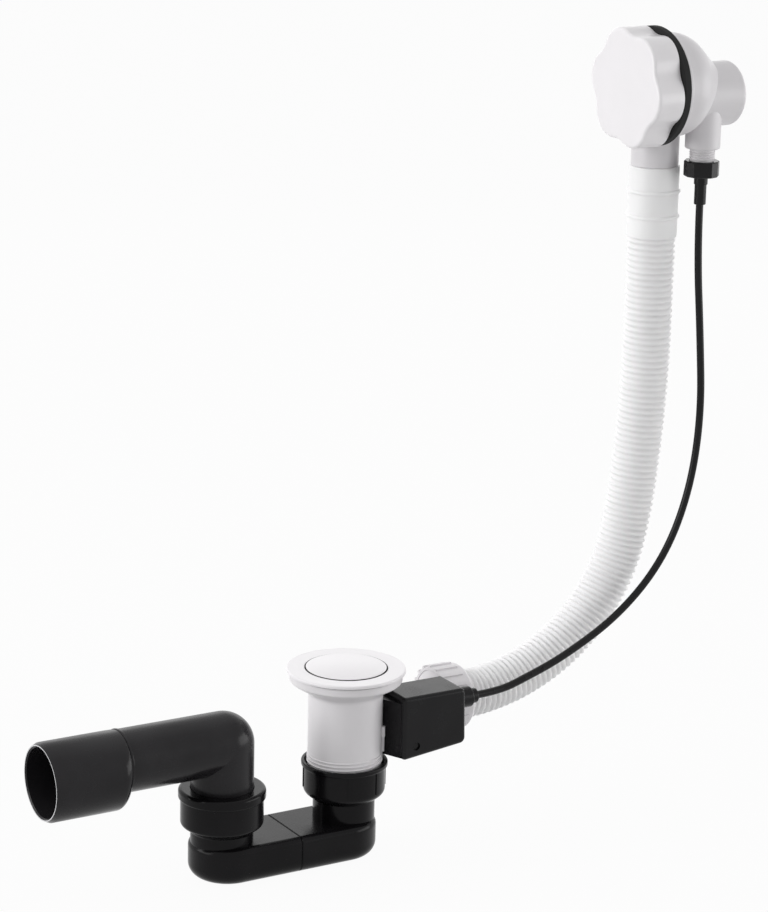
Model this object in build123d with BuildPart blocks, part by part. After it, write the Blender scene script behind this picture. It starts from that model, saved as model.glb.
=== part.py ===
import os
from math import atan, cos, degrees, pi, radians, sin, sqrt, tan

from build123d import *

os.makedirs("parts", exist_ok=True)

# Bath waste and overflow with a turning knob, a pull wire and a flat trap, in millimetres.
# The origin is on the waste axis at the bath surface. X runs along the trap towards the
# overflow, Y points behind the trap, and Z is up.

# Fits
seat_gap = 0.1  # radial play of pieces that are pushed or screwed together
running_gap = 0.1  # radial play of a turning pin or spindle
moving_gap = 0.4  # room between pieces that move past each other

# Waste flange and plug
flange_overhang = 1.9  # the visible rim beyond the waste body
flange_thickness = 2.0
gasket_thickness = 0.8
plug_radius = 26.0
plug_gap = 0.6  # ring-shaped gap between the plug and the flange
plug_rise = 0.6  # height of the plug's rim over the flange
plug_crown = 1.6
plug_bevel = 0.8
plug_underside = 0.2
seal_radius = 24.9
seal_depth = 2.8
seal_core_radius = 19.0
bowl_top = -0.6  # upper edge of the conical valve seat
bowl_bottom = -6.5
bowl_wall = 2.0
throat_radius = 18.6
neck_wall = 2.2
neck_bottom = -20.0
guide_radius = 5.2
guide_height = 8.0
spoke_width = 2.4
spoke_count = 4
stem_radius = 3.0
stem_top = -1.0
stem_boss_radius = 5.5
stem_boss_bottom = -5.0
stem_nut_size = 10.0
stem_nut_height = 3.2

# Waste body
flange_seat_width = 7.5
body_skirt = 5.2  # straight edge of the body's flange
body_skirt_round = 2.0
body_cone_drop = 7.6
body_cone_round = 4.0
barrel_wall = 3.0  # takes the barrel to the outside of the G 1 1/2 waste thread
barrel_bottom = -77.5
port_y = 16.0  # axis of the overflow port
port_z = -37.2
port_radius = 13.0
port_bore = 10.6
port_start = 11.0
port_back_wall = 3.0
port_thread_radius = 19.2
port_thread_start = 72.9
port_end = 85.4

# Lifting lever and its box
pivot_x = 36.0
wire_y = -14.0
wire_z = -27.0
wire_arm = 21.4  # height of the wire over the lever's pivot
lift_arm = 35.5  # reach of the lever from its pivot to the plug's stem
lever_droop = 6.0  # degrees that the lever hangs below level at rest
lever_thickness = 3.6
lever_hub_radius = 4.0
lever_hub_front = -25.0
lever_hub_back = -6.0
paddle_root = (-15.5, -10.0)  # sides of the lifting arm at the pivot, along Y
paddle_tip = (-3.0, 3.0)
fork_width = 8.4
fork_slot = 2.8
fork_wall = 1.5
fork_end = 4.5
fork_play = 1.6  # spare length of the slot that the cross pin slides in
pin_radius = 2.0
barrel_end_radius = 1.8  # cross pin on the end of the wire
barrel_end_length = 10.4
wire_radius = 0.7
box_left = 26.0
box_right_top = 72.4
box_right_bottom = 73.5
box_top = -15.0
box_bottom_left = -57.2
box_bottom_right = -52.0
box_front = -29.3
box_back = -1.0
box_wall = 1.8
box_lid = 2.0
box_round = 2.6
collar_top = -19.0
collar_bottom = -55.8
collar_front = (27.0, -28.0)
collar_meets = (20.3, -13.2)
pin_dimple_radius = 2.7
pin_dimple_depth = 1.2
window_y = (-13.0, -3.8)
window_z = (-52.6, -41.0)
window_wall = 1.4
window_end = 27.4
lug_angle = -36.0
lug_z = -40.2
lug_height = 6.8
lug_width = 2.6
lug_reach = 1.8
gland_face = 75.0
gland_radius = 6.8
gland_disc = 9.8  # length of the gland's wide part
gland_step = 1.9
gland_shank = 4.5
gland_end = 89.5

# Pull wire and knob
knob_turn = 60.0  # degrees from closed to open
drum_radius = 7.8  # from the spindle's axis to the middle of the wire
cable_radius = 2.5

# Overflow hose
hose_straight = 98.2  # end of the straight run out of the waste
hose_bends = ((133.0, 35.0), (119.0, 45.5), (810.0, 9.5))  # radius and turn in degrees
hose_crest = 15.9
hose_root = 14.3
hose_bore = 12.8
hose_pitch = 3.95
hose_collar_radius = 19.0
hose_collar = (87.0, 90.4)
hose_neck_radius = 15.2
cuff_radius = 16.6
cuff_bore = 13.4
cuff_length = 47.3
cuff_overlap = 33.0
cuff_beads = (16.5, 33.0)  # distances of the two ring beads below the top of the cuff
cuff_bead_radius = 17.8
cuff_bead_width = 2.6
hose_nut_radius = 21.6
hose_nut_rib = 1.1
hose_nut_rib_count = 18
hose_nut_ends = (74.4, 96.6)
hose_nut_lip = 5.8

# Overflow head
overflow_z = 361.0
cuff_below_axis = 55.0
spigot_setback = 12.2  # from the head's front face to the hose
gasket_depth = 5.3
head_flange_radius = 37.0
head_flange_depth = 3.2
dome_radius = 33.6
dome_shoulder = 18.0  # from the front face to the turn of the dome
dome_round = 20.0
dome_foot = (44.0, 10.0)  # end of the dome's cone: distance and radius
head_wall = 2.6
gasket_radius = 38.5
gasket_bore = 27.0
drive_radius = 21.0
drive_drop = 8.0  # the drive housing sits below the knob's axis
drive_depth = 57.2
cap_depth = 4.0
cap_spigot = 2.4
wall_depth = 23.5  # partition between the wet chamber and the drive housing
wire_depth = 32.6
spindle_radius = 4.0
spindle_square = 5.6
bearing_radius = 7.5
bearing_length = 10.0
spindle_seal_radius = 6.2
spindle_seal_width = 2.6
drum_room = 0.8  # between the drum and the wall of the drive housing
drum_width = 8.0
drum_groove = 2.6
clamp_radius = 31.0
clamp_bore = 16.5
clamp_thickness = 3.0
screw_circle = 21.5
screw_radius = 1.9
screw_head_radius = 3.6
screw_head_height = 2.4
screw_length = 24.0
post_radius = 4.2
spigot_radius = 12.9
spigot_collar_radius = 15.6
ring_section = 0.5
boss_radius = 11.5
boss_drop = 41.7  # from the knob's axis down to the end of the cable boss
stub_radius = 8.0
stub_length = 15.3
cable_nut_radius = 11.6
cable_nut_height = 10.3
cable_nut_lip = 1.5
cable_nut_flat_count = 12
sleeve_radius = 4.5
sleeve_tail_radius = 3.9
sleeve_shank = 5.5
sleeve_tail = 13.2
sleeve_flange = 7.0
sleeve_flange_height = 1.4
wire_bore = 1.2

# Knob
knob_depth = 19.5
knob_crest = 39.2
knob_valley = 34.8
knob_lobe_radius = 18.0
knob_lobe_count = 6
knob_first_valley = 10.0  # degrees from straight up
knob_wall = 2.4
knob_edge = 2.2
knob_hub_radius = 8.0

# Trap
trap_radius = 20.0  # outside of the d40 pipes
trap_wall = 2.8
trap_nut_top = -60.3
trap_nut_wall = 2.4
trap_nut_bead = 1.5  # how far the rim stands out
trap_nut_bead_height = 3.0
trap_nut_lead = 2.0
trap_nut_shoulder = -80.6
trap_nut_round = 5.0
trap_nut_bottom = -85.2
trap_nut_rib_count = 8
trap_nut_rib = 0.9
washer_thickness = 2.0
trough_width = 50.0
trough_top = -98.0
trough_bottom = -122.8
trough_near = -4.6  # middle of the rounded end under the waste
trough_far = -84.6
trough_top_round = 4.5
trough_bottom_round = 9.0
seam_x = -43.8
seam_groove = 0.7
riser_x = -88.7
socket_radius = 26.4
socket_foot = -91.6
socket_shoulder = -87.0
socket_rim = -70.2
socket_lip_radius = 27.8
socket_top = -63.4
socket_stop = -88.0
socket_seal_chamber = 23.6
socket_seal_bottom = -81.0
outlet_z = -34.0
weld_x = -159.6
weld_width = 1.8
weld_height = 0.5
outlet_radius = 25.0  # outside of the d50 pipe
outlet_wall = 3.0
reducer_start = -162.0
reducer_end = -173.0
outlet_end = -213.9
outlet_chamfer = 3.0

# Values that follow from the sizes above
recess_radius = plug_radius + plug_gap
neck_radius = throat_radius + neck_wall
barrel_bore = neck_radius + seat_gap
barrel_radius = barrel_bore + barrel_wall
funnel_radius = recess_radius + bowl_wall + seat_gap
body_flange_radius = funnel_radius + flange_seat_width
flange_radius = body_flange_radius + flange_overhang
body_top = -gasket_thickness
pivot_z = wire_z - wire_arm
drum_flange_radius = drive_radius - head_wall - drive_drop - drum_room
wire_travel = drum_radius * radians(knob_turn)
lever_end = degrees(atan(wire_travel / wire_arm - tan(radians(lever_droop))))
lever_swing = lever_droop + lever_end
plug_lift = lift_arm * (sin(radians(lever_end)) + sin(radians(lever_droop)))
lever_tip_z = pivot_z - lift_arm * sin(radians(lever_droop))
stem_foot = lever_tip_z + lever_thickness / 2 + moving_gap
washer_bottom = barrel_bottom - washer_thickness
cuff_top = overflow_z - cuff_below_axis
cuff_bottom = cuff_top - cuff_length
boss_bottom = overflow_z - boss_drop
stub_bottom = boss_bottom - stub_length
cable_nut_bottom = stub_bottom - sleeve_flange_height - cable_nut_lip
cable_nut_top = cable_nut_bottom + cable_nut_height
sleeve_step = cable_nut_bottom - sleeve_shank
sleeve_end = sleeve_step - sleeve_tail
outlet_drop = outlet_z - (outlet_radius - trap_radius)
print(f"wire travel {wire_travel:.3f}, lever swing {lever_swing:.3f} deg, plug lift {plug_lift:.3f}")
print(f"ratios: lever {lever_swing / knob_turn:.6f}, plug {plug_lift / radians(knob_turn):.5f} mm/rad")


def section(profile, plane):
    """A closed outline; a corner with a third number is rounded to that radius."""
    points = [corner[:2] for corner in profile]
    rounds = [corner[2] if len(corner) > 2 else 0 for corner in profile]
    with BuildSketch(plane) as face:
        with BuildLine():
            FilletPolyline(*points, radius=rounds, close=True)
        make_face()
    return face.sketch


def front_plane(x, y, z):
    """Upright plane seen from the front, with its own X along X and its own Y along Z."""
    return Plane(origin=(x, y, z), x_dir=(1, 0, 0), z_dir=(0, -1, 0))


def turn_upright(profile, x=0.0, y=0.0, mode=Mode.ADD):
    """A turned form about an upright axis, from (radius, height) corners."""
    revolve(section(profile, front_plane(x, y, 0)), axis=Axis((x, y, 0), (0, 0, 1)), mode=mode)


def turn_level(profile, y=0.0, z=0.0, mode=Mode.ADD):
    """A turned form about an axis along X, from (x, radius) corners."""
    revolve(section(profile, front_plane(0, y, z)), axis=Axis((0, y, z), (1, 0, 0)), mode=mode)


def upright_bar(radius, low, high, x=0.0, y=0.0, mode=Mode.ADD):
    with Locations((x, y, low)):
        Cylinder(radius, high - low, align=(Align.CENTER, Align.CENTER, Align.MIN), mode=mode)


def level_bar(radius, start, end, y=0.0, z=0.0, mode=Mode.ADD):
    with Locations(Plane(origin=(start, y, z), x_dir=(0, 1, 0), z_dir=(1, 0, 0))):
        Cylinder(radius, end - start, align=(Align.CENTER, Align.CENTER, Align.MIN), mode=mode)


def cross_bar(radius, front, back, x, z, mode=Mode.ADD):
    with Locations(Plane(origin=(x, front, z), x_dir=(1, 0, 0), z_dir=(0, 1, 0))):
        Cylinder(radius, back - front, align=(Align.CENTER, Align.CENTER, Align.MIN), mode=mode)


def block(low, high, mode=Mode.ADD):
    size = [b - a for a, b in zip(low, high)]
    with Locations(low):
        Box(*size, align=(Align.MIN, Align.MIN, Align.MIN), mode=mode)


# Waste flange: a flat rim, a conical valve seat and a threaded neck with a guide for the stem
with BuildPart() as drain_flange:
    turn_upright([
        (flange_radius, 0),
        (flange_radius, flange_thickness, 0.9),
        (recess_radius, flange_thickness, 0.4),
        (recess_radius, bowl_top),
        (throat_radius, bowl_bottom),
        (throat_radius, neck_bottom),
        (neck_radius, neck_bottom),
        (neck_radius, bowl_bottom - bowl_wall),
        (recess_radius + bowl_wall, bowl_top - bowl_wall),
        (recess_radius + bowl_wall, 0),
    ])
    with Locations((0, 0, neck_bottom)):
        with PolarLocations(throat_radius / 2, spoke_count, 45):
            Box(throat_radius + neck_wall, spoke_width, guide_height,
                align=(Align.CENTER, Align.CENTER, Align.MIN))
    upright_bar(guide_radius, neck_bottom, neck_bottom + guide_height)
    upright_bar(stem_radius + running_gap, neck_bottom, neck_bottom + guide_height, mode=Mode.SUBTRACT)

with BuildPart() as flange_gasket:
    turn_upright([
        (funnel_radius, body_top),
        (body_flange_radius, body_top),
        (body_flange_radius, 0),
        (funnel_radius, 0),
    ])

# Plug: a slightly domed cap with a seal round its core and a screwed stem
rim_top = flange_thickness + plug_rise
crown_reach = plug_radius - plug_bevel
crown_radius = (crown_reach ** 2 + plug_crown ** 2) / (2 * plug_crown)
crown_top = rim_top + plug_crown
core_lip = seal_core_radius + 1.2
core_wall = 2.2
plate = 1.7
with BuildPart() as plug_cap:
    with BuildSketch(Plane.XZ):
        with BuildLine():
            half = crown_reach / 2
            dome_mid = crown_top - crown_radius + sqrt(crown_radius ** 2 - half ** 2)
            ThreePointArc((0, crown_top), (half, dome_mid), (crown_reach, rim_top))
            Polyline(
                (crown_reach, rim_top),
                (plug_radius - plug_bevel * 0.3, rim_top - plug_bevel * 0.3),
                (plug_radius, rim_top - plug_bevel),
                (plug_radius, plug_underside),
                (seal_core_radius, plug_underside),
                (seal_core_radius, plug_underside - seal_depth),
                (core_lip, plug_underside - seal_depth),
                (core_lip, plug_underside - seal_depth - 1.0),
                (seal_core_radius - core_wall, plug_underside - seal_depth - 1.0),
                (seal_core_radius - core_wall, rim_top - plate),
                (stem_boss_radius, rim_top - plate),
                (stem_boss_radius, stem_boss_bottom),
                (stem_radius, stem_boss_bottom),
                (stem_radius, stem_top),
                (0, stem_top),
                (0, crown_top),
            )
        make_face()
    revolve(axis=Axis.Z)

seat_slope = (bowl_top - bowl_bottom) / (recess_radius - throat_radius)
with BuildPart() as plug_seal:
    lip = 1.5
    lip_low = bowl_top - (recess_radius - seal_radius) * seat_slope + moving_gap
    turn_upright([
        (seal_core_radius, plug_underside),
        (seal_radius, plug_underside),
        (seal_radius, lip_low),
        (seal_radius - lip, lip_low - lip * seat_slope),
        (core_lip + 0.6, plug_underside - seal_depth),
        (seal_core_radius, plug_underside - seal_depth),
    ])

with BuildPart() as plug_stem:
    turn_upright([
        (0, stem_top),
        (stem_radius, stem_top),
        (stem_radius, stem_foot, 1.6),
        (0, stem_foot),
    ])

with BuildPart() as stem_nut:
    with BuildSketch(Plane.XY.offset(stem_boss_bottom - stem_nut_height)):
        RegularPolygon(stem_nut_size / 2, 6, major_radius=False)
        Circle(stem_radius, mode=Mode.SUBTRACT)
    extrude(amount=stem_nut_height)

# Waste body: flanged barrel with a window for the lever and a side port for the overflow hose
with BuildPart() as drain_body:
    funnel_drop = bowl_top - bowl_wall - seat_gap
    turn_upright([
        (barrel_bore, body_top),
        (body_flange_radius, body_top, 0.5),
        (body_flange_radius, body_top - body_skirt, body_skirt_round),
        (barrel_radius, body_top - body_skirt - body_cone_drop, body_cone_round),
        (barrel_radius, barrel_bottom),
        (barrel_bore, barrel_bottom),
    ])
    turn_level([
        (port_start, 0),
        (port_start, port_radius, 3.0),
        (port_thread_start, port_radius),
        (port_thread_start + 2, port_thread_radius),
        (port_end, port_thread_radius),
        (port_end, 0),
    ], port_y, port_z)
    block((0, window_y[0] - window_wall, window_z[0] - window_wall),
          (window_end, window_y[1] + window_wall, window_z[1] + window_wall))
    with Locations(Location((0, 0, lug_z), (0, 0, lug_angle))):
        with Locations((barrel_radius + lug_reach / 2 - 0.5, 0, 0)):
            Box(lug_reach + 1, lug_width, lug_height)
    turn_upright([
        (0, body_top),
        (funnel_radius, body_top),
        (funnel_radius, funnel_drop),
        (barrel_bore, bowl_bottom - bowl_wall - seat_gap),
        (barrel_bore, barrel_bottom),
        (0, barrel_bottom),
    ], mode=Mode.SUBTRACT)
    level_bar(port_bore, port_start + port_back_wall, port_end, port_y, port_z, mode=Mode.SUBTRACT)
    block((barrel_bore * 0.7, window_y[0], window_z[0]), (window_end, window_y[1], window_z[1]),
          mode=Mode.SUBTRACT)

# Lever box: a shell that closes round the window, a lid on its back, and a cable gland
def box_outline(inset):
    outline = section([
        (box_left, box_top, 2.6),
        (box_right_top, box_top, 3.0),
        (box_right_bottom, box_bottom_right, 4.0),
        (box_left, box_bottom_left, 3.0),
    ], front_plane(0, box_back, 0))
    return offset(outline, amount=-inset, mode=Mode.PRIVATE) if inset else outline


box_cavity = box_outline(box_wall)
box_lid_outline = box_outline(box_wall + seat_gap)
with BuildPart() as lever_housing:
    extrude(box_outline(0), amount=box_back - box_front)
    fillet(lever_housing.faces().sort_by(Axis.Y)[0].edges(), box_round)
    with BuildSketch(Plane.XY.offset(collar_bottom)):
        with BuildLine():
            Polyline(collar_front, collar_meets, (barrel_radius - 0.5, box_back), (collar_front[0], box_back),
                     collar_front)
        make_face()
    extrude(amount=collar_top - collar_bottom)
    level_bar(gland_radius, box_right_top - box_wall, gland_face, wire_y, wire_z)
    upright_bar(barrel_radius + seat_gap, box_bottom_left, box_top, mode=Mode.SUBTRACT)
    extrude(box_cavity, amount=box_back - box_front - box_wall, mode=Mode.SUBTRACT)
    block((0, window_y[0] - window_wall - seat_gap, window_z[0] - window_wall - seat_gap),
          (box_left + box_wall, window_y[1] + window_wall + seat_gap, window_z[1] + window_wall + seat_gap),
          mode=Mode.SUBTRACT)
    with Locations(Location((0, 0, lug_z), (0, 0, lug_angle))):
        with Locations((barrel_radius, 0, 0)):
            Box(2 * (lug_reach + seat_gap), lug_width + 2 * seat_gap, lug_height + 2 * seat_gap,
                mode=Mode.SUBTRACT)
    level_bar(gland_shank + seat_gap, box_right_top - 4 * box_wall, gland_face, wire_y, wire_z,
              mode=Mode.SUBTRACT)
    cross_bar(pin_radius + seat_gap, box_front, box_front + 2 * box_wall, pivot_x, pivot_z,
              mode=Mode.SUBTRACT)
    cross_bar(pin_dimple_radius, box_front, box_front + pin_dimple_depth, pivot_x, pivot_z,
              mode=Mode.SUBTRACT)

with BuildPart() as housing_lid:
    extrude(box_lid_outline, amount=box_lid)
    cross_bar(pin_radius + seat_gap, box_back - box_lid, box_back, pivot_x, pivot_z, mode=Mode.SUBTRACT)

with BuildPart() as lever_pin:
    cross_bar(pin_radius, box_front + pin_dimple_depth, box_back - 0.3, pivot_x, pivot_z)

with BuildPart() as cable_gland:
    shank_start = box_right_top - 2 * box_wall
    turn_level([
        (shank_start, wire_bore),
        (shank_start, gland_shank, 0.6),
        (gland_face, gland_shank),
        (gland_face, gland_radius, 0.6),
        (gland_face + gland_disc, gland_radius, 1.2),
        (gland_face + gland_disc + 0.6, gland_radius - gland_step),
        (gland_end, gland_radius - gland_step, 1.0),
        (gland_end, wire_bore),
    ], wire_y, wire_z)

# Bell crank: the fork is pulled by the wire and the paddle lifts the stem
droop = Plane(origin=(pivot_x, 0, pivot_z), x_dir=(-cos(radians(lever_droop)), 0, -sin(radians(lever_droop))),
              z_dir=(-sin(radians(lever_droop)), 0, cos(radians(lever_droop))))
fork_middle = wire_arm / cos(radians((lever_end + lever_droop) / 2))
fork_half = barrel_end_radius + moving_gap
fork_edge = fork_half + fork_wall
with BuildPart() as lift_lever:
    cross_bar(lever_hub_radius, lever_hub_front, lever_hub_back, pivot_x, pivot_z)
    with BuildSketch(droop.offset(-lever_thickness / 2)):
        with BuildLine():
            Polyline((0, -paddle_root[0]), (0, -paddle_root[1]), (lift_arm, -paddle_tip[1]),
                     (lift_arm, -paddle_tip[0]), (0, -paddle_root[0]))
        make_face()
    extrude(amount=lever_thickness)
    tip_x = pivot_x - lift_arm * cos(radians(lever_droop))
    cross_bar(lever_thickness / 2, paddle_tip[0], paddle_tip[1], tip_x, lever_tip_z)
    fork_plane = Plane(origin=(pivot_x, wire_y + fork_width / 2, pivot_z), z_dir=(0, -1, 0),
                       x_dir=(cos(radians(lever_droop)), 0, sin(radians(lever_droop))))
    with BuildSketch(fork_plane):
        with BuildLine():
            Polyline((-fork_edge, 0), (fork_edge, 0), (fork_edge, fork_middle + fork_end),
                     (-fork_edge, fork_middle + fork_end), (-fork_edge, 0))
        make_face()
        with Locations((0, fork_middle)):
            SlotOverall(2 * fork_half + fork_play, 2 * fork_half, rotation=90, mode=Mode.SUBTRACT)
    extrude(amount=fork_width)
    with BuildSketch(fork_plane.offset((fork_width - fork_slot) / 2)):
        with Locations((0, fork_middle)):
            Rectangle(4 * lever_hub_radius, fork_middle)
    extrude(amount=fork_slot, mode=Mode.SUBTRACT)
    cross_bar(pin_radius + running_gap, lever_hub_front, lever_hub_back, pivot_x, pivot_z, mode=Mode.SUBTRACT)

# Moving ends of the pull wire: one hooked in the lever's fork, one running up to the drum
cross_pin_x = pivot_x - wire_arm * tan(radians(lever_droop))
with BuildPart() as wire_end_lower:
    cross_bar(barrel_end_radius, wire_y - barrel_end_length / 2, wire_y + barrel_end_length / 2,
              cross_pin_x, wire_z)
    level_bar(wire_radius, cross_pin_x, gland_end - wire_travel - moving_gap, wire_y, wire_z)

# Overflow hose: a smooth collar and neck, a corrugated run of tangent arcs, and a smooth cuff
hose_plane = front_plane(0, port_y, 0)
with BuildLine(hose_plane) as hose_line:
    spot, heading = (hose_straight, port_z), 0.0
    Line((hose_collar[0], port_z), spot)
    for bend_radius, bend_turn in hose_bends:
        bend = JernArc(spot, (cos(radians(heading)), sin(radians(heading))), bend_radius, bend_turn)
        heading += bend_turn
        spot = (spot[0] + bend_radius * (sin(radians(heading)) - sin(radians(heading - bend_turn))),
                spot[1] + bend_radius * (cos(radians(heading - bend_turn)) - cos(radians(heading))))
    Line(spot, (spot[0], cuff_bottom))
hose_wire = hose_line.wire()
hose_x = spot[0]
corrugated_start = hose_nut_ends[1] - hose_collar[0]
ridges = round((hose_wire.length - corrugated_start) / hose_pitch)
ridge_step = (hose_wire.length - corrugated_start) / ridges / 2
print(f"hose: {hose_wire.length:.1f} along its axis to the cuff, {ridges} ridges, top at x {hose_x:.2f}")


def hose_station(distance):
    middle = hose_wire.position_at(distance, position_mode=PositionMode.LENGTH)
    along = hose_wire.tangent_at(distance, position_mode=PositionMode.LENGTH)
    return Plane(origin=middle, x_dir=(0, 1, 0), z_dir=along)


with BuildPart() as overflow_hose:
    for number in range(2 * ridges + 1):
        with BuildSketch(hose_station(corrugated_start + number * ridge_step)):
            Circle(hose_crest if number % 2 else hose_root)
    loft(ruled=True)
    turn_level([
        (hose_collar[0], 0),
        (hose_collar[0], hose_collar_radius, 0.6),
        (hose_collar[1], hose_collar_radius),
        (hose_collar[1], hose_neck_radius),
        (hose_nut_ends[1], hose_neck_radius),
        (hose_nut_ends[1], 0),
    ], port_y, port_z)
    cuff = [(0, cuff_bottom), (cuff_radius, cuff_bottom, 0.8)]
    for below in reversed(cuff_beads):
        bead = cuff_top - below
        cuff += [(cuff_radius, bead - cuff_bead_width / 2), (cuff_bead_radius, bead - cuff_bead_width / 4),
                 (cuff_bead_radius, bead + cuff_bead_width / 4), (cuff_radius, bead + cuff_bead_width / 2)]
    turn_upright(cuff + [(cuff_radius, cuff_top, 0.6), (0, cuff_top)], hose_x, port_y)
    with BuildSketch(hose_station(0)):
        Circle(hose_bore)
    sweep(path=hose_wire, mode=Mode.SUBTRACT)
    upright_bar(hose_bore, cuff_bottom, cuff_top, hose_x, port_y, mode=Mode.SUBTRACT)
    upright_bar(cuff_bore, cuff_top - cuff_overlap, cuff_top, hose_x, port_y, mode=Mode.SUBTRACT)

with BuildPart() as hose_nut:
    nut_start, nut_end = hose_nut_ends
    thread_bore = port_thread_radius + seat_gap
    turn_level([
        (nut_start, thread_bore),
        (nut_start, hose_nut_radius, 0.8),
        (nut_end - hose_nut_lip / 2, hose_nut_radius, 1.0),
        (nut_end, hose_nut_radius - 2.4),
        (nut_end, hose_neck_radius + seat_gap),
        (hose_collar[1], hose_neck_radius + seat_gap),
        (hose_collar[1], thread_bore),
    ], port_y, port_z)
    with Locations(Plane(origin=((nut_start + nut_end - hose_nut_lip) / 2, port_y, port_z), x_dir=(0, 1, 0),
                         z_dir=(1, 0, 0))):
        with PolarLocations(hose_nut_radius, hose_nut_rib_count):
            Box(2 * hose_nut_rib, 2.2, nut_end - nut_start - hose_nut_lip)

with BuildPart() as hose_washer:
    turn_level([
        (port_end, hose_bore),
        (port_end, port_thread_radius - 0.4),
        (hose_collar[0], port_thread_radius - 0.4),
        (hose_collar[0], hose_bore),
    ], port_y, port_z)

# Overflow head: a flanged dome over a wet chamber, with the drive housing behind it
front_x = hose_x - spigot_setback
wire_x = front_x + wire_depth
wall_x = front_x + wall_depth
drive_end = front_x + drive_depth
drive_z = overflow_z - drive_drop
bath_face = front_x - gasket_depth
spindle_bore = spindle_radius + running_gap


def head_dome(inset, depth, mode):
    """The head's dome, or its hollow when inset by the wall: a level run, a round and a cone."""
    foot_depth, foot_radius = dome_foot
    slope = (dome_radius - foot_radius) / (foot_depth - dome_shoulder)
    turn = dome_shoulder - inset * tan(atan(slope) / 2)
    end_radius = max(0.0, dome_radius - inset - (depth - turn) * slope)
    turn_level([
        (front_x, 0),
        (front_x, dome_radius - inset),
        (front_x + turn, dome_radius - inset, dome_round - inset),
        (front_x + depth, end_radius),
        (front_x + depth, 0),
    ], z=overflow_z, mode=mode)


with BuildPart() as overflow_body:
    head_dome(0.0, dome_foot[0], Mode.ADD)
    turn_level([
        (front_x, 0),
        (front_x, head_flange_radius, 0.6),
        (front_x + head_flange_depth, head_flange_radius, 1.2),
        (front_x + head_flange_depth, 0),
    ], z=overflow_z)
    level_bar(drive_radius, wall_x - 3, drive_end - cap_depth, z=drive_z)
    turn_upright([
        (0, boss_bottom),
        (boss_radius, boss_bottom, 1.2),
        (boss_radius, drive_z),
        (0, drive_z),
    ], wire_x, -drum_radius)
    upright_bar(stub_radius, stub_bottom, boss_bottom, wire_x, -drum_radius)
    turn_upright([
        (0, cuff_top - cuff_overlap + moving_gap),
        (spigot_radius, cuff_top - cuff_overlap + moving_gap, 0.8),
        (spigot_radius, cuff_top),
        (spigot_collar_radius, cuff_top, 0.6),
        (spigot_collar_radius, overflow_z - dome_radius / 2),
        (0, overflow_z - dome_radius / 2),
    ], hose_x, port_y)
    level_bar(gasket_radius + seat_gap, bath_face, front_x, z=overflow_z, mode=Mode.SUBTRACT)
    head_dome(head_wall, wall_depth, Mode.SUBTRACT)
    level_bar(drive_radius - head_wall, wall_x + head_wall, drive_end, z=drive_z, mode=Mode.SUBTRACT)
    level_bar(bearing_radius, wall_x - bearing_length, wall_x, z=overflow_z)
    for side in (1, -1):
        level_bar(post_radius, front_x, wall_x, z=overflow_z + side * screw_circle)
    upright_bar(port_bore, cuff_top - cuff_overlap, overflow_z - dome_radius / 2, hose_x, port_y,
                mode=Mode.SUBTRACT)
    groove = cuff_top - cuff_overlap / 2
    turn_upright([
        (spigot_radius - 1.0, groove - 2 * ring_section),
        (spigot_radius + 1.0, groove - 2 * ring_section),
        (spigot_radius + 1.0, groove + 2 * ring_section),
        (spigot_radius - 1.0, groove + 2 * ring_section),
    ], hose_x, port_y, mode=Mode.SUBTRACT)
    level_bar(spindle_bore, wall_x - bearing_length, wall_x + head_wall, z=overflow_z, mode=Mode.SUBTRACT)
    level_bar(spindle_seal_radius + seat_gap, wall_x - bearing_length,
              wall_x - bearing_length + spindle_seal_width, z=overflow_z, mode=Mode.SUBTRACT)
    for side in (1, -1):
        level_bar(screw_radius + seat_gap, front_x, front_x + screw_length - gasket_depth, mode=Mode.SUBTRACT,
                  z=overflow_z + side * screw_circle)
    upright_bar(wire_bore, stub_bottom, drive_z, wire_x, -drum_radius, mode=Mode.SUBTRACT)

with BuildPart() as spigot_ring:
    with Locations((hose_x, port_y, groove)):
        Torus(spigot_radius - 0.45, ring_section)

with BuildPart() as drive_cap:
    turn_level([
        (drive_end - cap_depth - cap_spigot, 0),
        (drive_end - cap_depth - cap_spigot, drive_radius - head_wall - seat_gap),
        (drive_end - cap_depth, drive_radius - head_wall - seat_gap),
        (drive_end - cap_depth, drive_radius),
        (drive_end, drive_radius, 3.0),
        (drive_end, 0),
    ], z=drive_z)
    level_bar(spindle_bore, drive_end - cap_depth - cap_spigot, drive_end - cap_depth, z=overflow_z,
              mode=Mode.SUBTRACT)

with BuildPart() as spindle_seal:
    turn_level([
        (wall_x - bearing_length, spindle_bore),
        (wall_x - bearing_length, spindle_seal_radius),
        (wall_x - bearing_length + spindle_seal_width, spindle_seal_radius),
        (wall_x - bearing_length + spindle_seal_width, spindle_bore),
    ], z=overflow_z)

with BuildPart() as overflow_gasket:
    turn_level([
        (bath_face, gasket_bore),
        (bath_face, gasket_radius, 1.0),
        (front_x, gasket_radius, 0.6),
        (front_x, gasket_bore),
    ], z=overflow_z)

with BuildPart() as clamp_ring:
    turn_level([
        (bath_face - clamp_thickness, clamp_bore),
        (bath_face - clamp_thickness, clamp_radius, 1.0),
        (bath_face, clamp_radius),
        (bath_face, clamp_bore),
    ], z=overflow_z)
    for side in (1, -1):
        level_bar(screw_radius + seat_gap, bath_face - clamp_thickness, bath_face, mode=Mode.SUBTRACT,
                  z=overflow_z + side * screw_circle)

with BuildPart() as clamp_screws:
    head_face = bath_face - clamp_thickness
    for side in (1, -1):
        turn_level([
            (head_face - screw_head_height, 0),
            (head_face - screw_head_height, screw_head_radius, 1.0),
            (head_face, screw_head_radius),
            (head_face, screw_radius),
            (head_face + screw_length, screw_radius),
            (head_face + screw_length, 0),
        ], z=overflow_z + side * screw_circle)

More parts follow.
